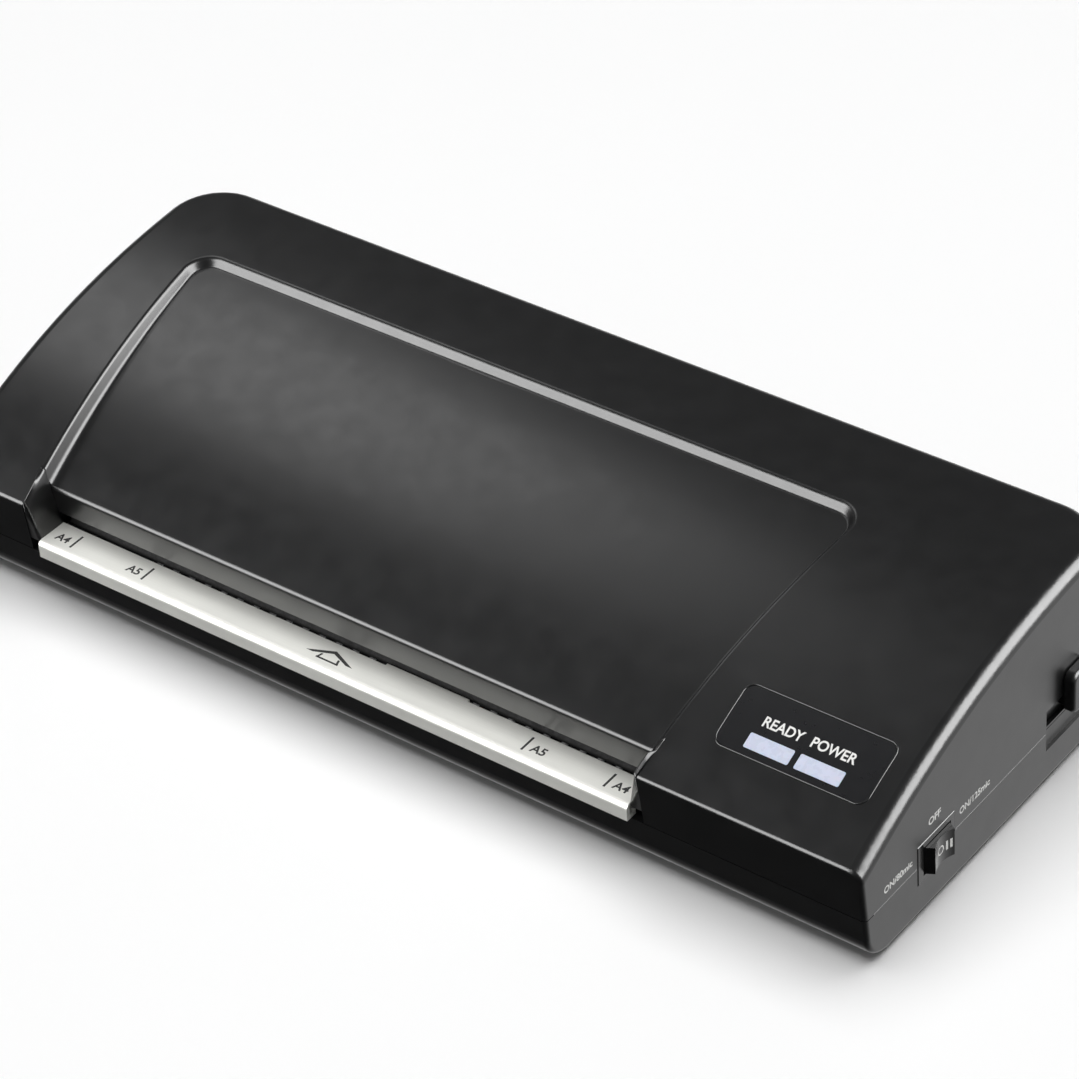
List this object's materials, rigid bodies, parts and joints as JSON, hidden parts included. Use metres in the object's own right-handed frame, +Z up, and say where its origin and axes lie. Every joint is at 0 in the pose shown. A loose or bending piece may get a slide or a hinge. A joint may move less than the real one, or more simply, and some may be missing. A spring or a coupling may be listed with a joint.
{
  "type": "pouch laminator",
  "caption": "Desktop A4 pouch laminator: arched black case with a recessed feed slot, silver feed tray, status panel, side rocker switch, release lever and heated rollers inside.",
  "frame": {"origin": "middle of the whole machine, on the surface that it stands on", "axes": "+X to the end with the switch and the release lever, +Y from the feed side to the exit side, +Z up"},
  "size_m": [0.368, 0.1484, 0.0745],
  "materials": {
    "cover_plastic": "satin black moulded ABS",
    "base_plastic": "satin black moulded ABS",
    "tray_metal": "satin silver extrusion",
    "panel_gloss": "gloss dark acrylic",
    "light_window": "translucent pale acrylic",
    "rubber": "matt black rubber",
    "screw_steel": "zinc-plated steel",
    "plate_steel": "galvanised sheet steel",
    "shaft_steel": "ground steel",
    "silicone": "red-brown silicone rubber",
    "bearing": "dark heat-resisting polymer",
    "heater_alloy": "extruded aluminium",
    "mica": "insulated heating strip",
    "gear_plastic": "natural acetal",
    "switch_plastic": "gloss black nylon",
    "lever_plastic": "satin black nylon",
    "spring_steel": "spring wire",
    "motor_can": "plated steel can",
    "board": "green laminate board",
    "component": "moulded components",
    "lamp": "lamp lens",
    "brass_part": "brass blades",
    "label": "blank plate"
  },
  "bodies": {
    "case": {"base_shell": "base_plastic", "board_components": "component", "case_screws": "screw_steel", "circuit_board": "board", "cord_gland": "rubber", "entry_guides": "base_plastic", "exit_guides": "base_plastic", "feed_tray": "tray_metal", "gear_motor": "motor_can", "heater_strips": "mica", "idler_stud": "shaft_steel", "indicator_board": "board", "indicator_lamps": "lamp", "left_side_plate": "plate_steel", "lower_bearings": "bearing", "lower_heater_plate": "heater_alloy", "motor_bracket": "plate_steel", "plate_screws": "screw_steel", "power_window": "light_window", "pressure_springs": "spring_steel", "rating_label": "label", "ready_window": "light_window", "right_side_plate": "plate_steel", "rubber_feet": "rubber", "status_panel": "panel_gloss", "switch_housing": "switch_plastic", "switch_terminals": "brass_part", "terminal_block": "label", "thermal_fuse": "component", "thermostat": "motor_can", "tie_rods": "shaft_steel", "top_cover": "cover_plastic", "upper_heater_plate": "heater_alloy"},
    "rocker": {"switch_rocker": "switch_plastic"},
    "lever": {"release_lever": "lever_plastic", "release_shaft": "shaft_steel"},
    "roller_carriage": {"left_lift_plate": "plate_steel", "right_lift_plate": "plate_steel", "upper_bearings": "bearing"},
    "idler": {"idler_gear": "gear_plastic"},
    "drive_pinion": {"motor_pinion": "brass_part", "motor_shaft": "shaft_steel"},
    "lower_hot_roller": {"lower_hot_shaft": "shaft_steel", "lower_hot_sleeve": "silicone", "lower_hot_gear": "gear_plastic", "lower_hot_clip": "spring_steel"},
    "upper_hot_roller": {"upper_hot_shaft": "shaft_steel", "upper_hot_sleeve": "silicone", "upper_hot_gear": "gear_plastic", "upper_hot_clip": "spring_steel"},
    "lower_pull_roller": {"lower_pull_shaft": "shaft_steel", "lower_pull_sleeve": "silicone", "lower_pull_gear": "gear_plastic", "lower_pull_clip": "spring_steel"},
    "upper_pull_roller": {"upper_pull_shaft": "shaft_steel", "upper_pull_sleeve": "silicone", "upper_pull_gear": "gear_plastic", "upper_pull_clip": "spring_steel"}
  },
  "joints": [
    {"name": "rocker_tilt", "type": "hinge", "parent": "case", "child": "rocker", "pos_m": [0.178, -0.0346, 0.0211], "axis": [0, 0, 1], "range_deg": [-9, 9]},
    {"name": "lever_turn", "type": "hinge", "parent": "case", "child": "lever", "pos_m": [-0.0228, 0.03625, 0.052], "axis": [-1, 0, 0], "range_deg": [0, 24]},
    {"name": "carriage_lift", "type": "slide", "parent": "case", "child": "roller_carriage", "axis": [0, 0, 1], "range_m": [0, 0.00125], "deforming": ["pressure_springs"]},
    {"name": "lower_hot_spin", "type": "hinge", "parent": "case", "child": "lower_hot_roller", "pos_m": [-0.0228, -0.01225, 0.0176], "axis": [1, 0, 0], "continuous": true},
    {"name": "upper_hot_spin", "type": "hinge", "parent": "roller_carriage", "child": "upper_hot_roller", "pos_m": [-0.0228, -0.01225, 0.0396], "axis": [1, 0, 0], "continuous": true},
    {"name": "idler_spin", "type": "hinge", "parent": "case", "child": "idler", "pos_m": [-0.0228, 0.0115, 0.02542], "axis": [1, 0, 0], "continuous": true},
    {"name": "lower_pull_spin", "type": "hinge", "parent": "case", "child": "lower_pull_roller", "pos_m": [-0.0228, 0.03375, 0.0196], "axis": [1, 0, 0], "continuous": true},
    {"name": "upper_pull_spin", "type": "hinge", "parent": "roller_carriage", "child": "upper_pull_roller", "pos_m": [-0.0228, 0.03375, 0.0376], "axis": [1, 0, 0], "continuous": true},
    {"name": "pinion_spin", "type": "hinge", "parent": "case", "child": "drive_pinion", "pos_m": [-0.0228, 0.0115, 0.04541], "axis": [1, 0, 0], "continuous": true}
  ],
  "couplings": [
    {"joint": "lever_turn", "follows": "carriage_lift", "rad_per_m": 335.1},
    {"joint": "upper_hot_spin", "follows": "lower_hot_spin", "ratio": -1},
    {"joint": "idler_spin", "follows": "lower_hot_spin", "ratio": -0.78571},
    {"joint": "lower_pull_spin", "follows": "lower_hot_spin", "ratio": 1.2222},
    {"joint": "upper_pull_spin", "follows": "lower_hot_spin", "ratio": -1.2222},
    {"joint": "pinion_spin", "follows": "lower_hot_spin", "ratio": 1.8333}
  ]
}
